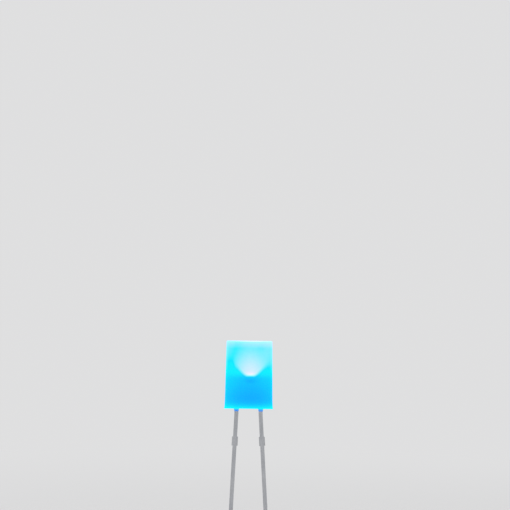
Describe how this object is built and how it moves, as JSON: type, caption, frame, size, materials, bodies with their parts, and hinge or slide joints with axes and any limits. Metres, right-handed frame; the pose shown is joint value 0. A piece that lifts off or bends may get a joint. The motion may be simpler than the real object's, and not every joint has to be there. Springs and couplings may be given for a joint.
{
  "type": "through-hole led",
  "caption": "Rectangular diffused through-hole LED, lit blue: a cast epoxy block around a stamped lead frame with a reflector cup, chip and bond wires.",
  "frame": {"origin": "on the seating plane, the flat foot of the block, midway between the two leads", "axes": "+Z out of the top of the block, the way the light leaves; X along the wide side with the anode at -X and the cathode at +X; the front looks to -Y"},
  "size_m": [0.0057, 0.0022, 0.034],
  "materials": {
    "epoxy": "cast, milky with diffuser, lit from inside",
    "tinned_steel": "stamped and tin plated, satin",
    "chip": "polished, lit",
    "adhesive": "cured drop",
    "gold": "drawn wire"
  },
  "bodies": {
    "root": {"epoxy_body": "epoxy", "cathode_lead": "tinned_steel", "anode_lead": "tinned_steel", "led_die": "chip", "die_attach": "adhesive", "anode_bond_wire": "gold", "cathode_bond_wire": "gold"}
  },
  "joints": []
}
